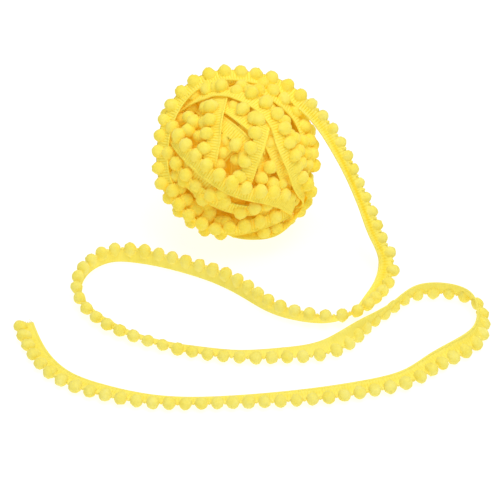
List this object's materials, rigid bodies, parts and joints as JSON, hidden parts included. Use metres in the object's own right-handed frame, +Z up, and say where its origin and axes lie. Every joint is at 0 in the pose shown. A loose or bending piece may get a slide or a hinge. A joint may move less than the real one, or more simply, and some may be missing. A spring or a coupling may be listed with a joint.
{
  "type": "pompom fringe trim",
  "caption": "Yellow pompom fringe trim wound into a ball, with a long loose end lying in an S beside it.",
  "frame": {"origin": "centre of the flat spot that the ball rests on, on the floor", "axes": "+X along the longest way of the laid out trim, to the right of the view; +Y away from the viewer; +Z up"},
  "size_m": [0.2246, 0.187, 0.0824],
  "materials": {
    "wound_trim": "matte woven tape and pile",
    "tape": "matte, ribbed across",
    "pompoms": "velvety cut pile"
  },
  "bodies": {
    "root": {"wound_ball": "wound_trim", "tail_tape": "tape", "tail_pompoms_01": "pompoms", "tail_pompoms_02": "pompoms", "tail_pompoms_03": "pompoms", "tail_pompoms_04": "pompoms", "tail_pompoms_05": "pompoms", "tail_pompoms_06": "pompoms", "tail_pompoms_07": "pompoms", "tail_pompoms_08": "pompoms", "tail_pompoms_09": "pompoms", "tail_pompoms_10": "pompoms"}
  },
  "joints": []
}
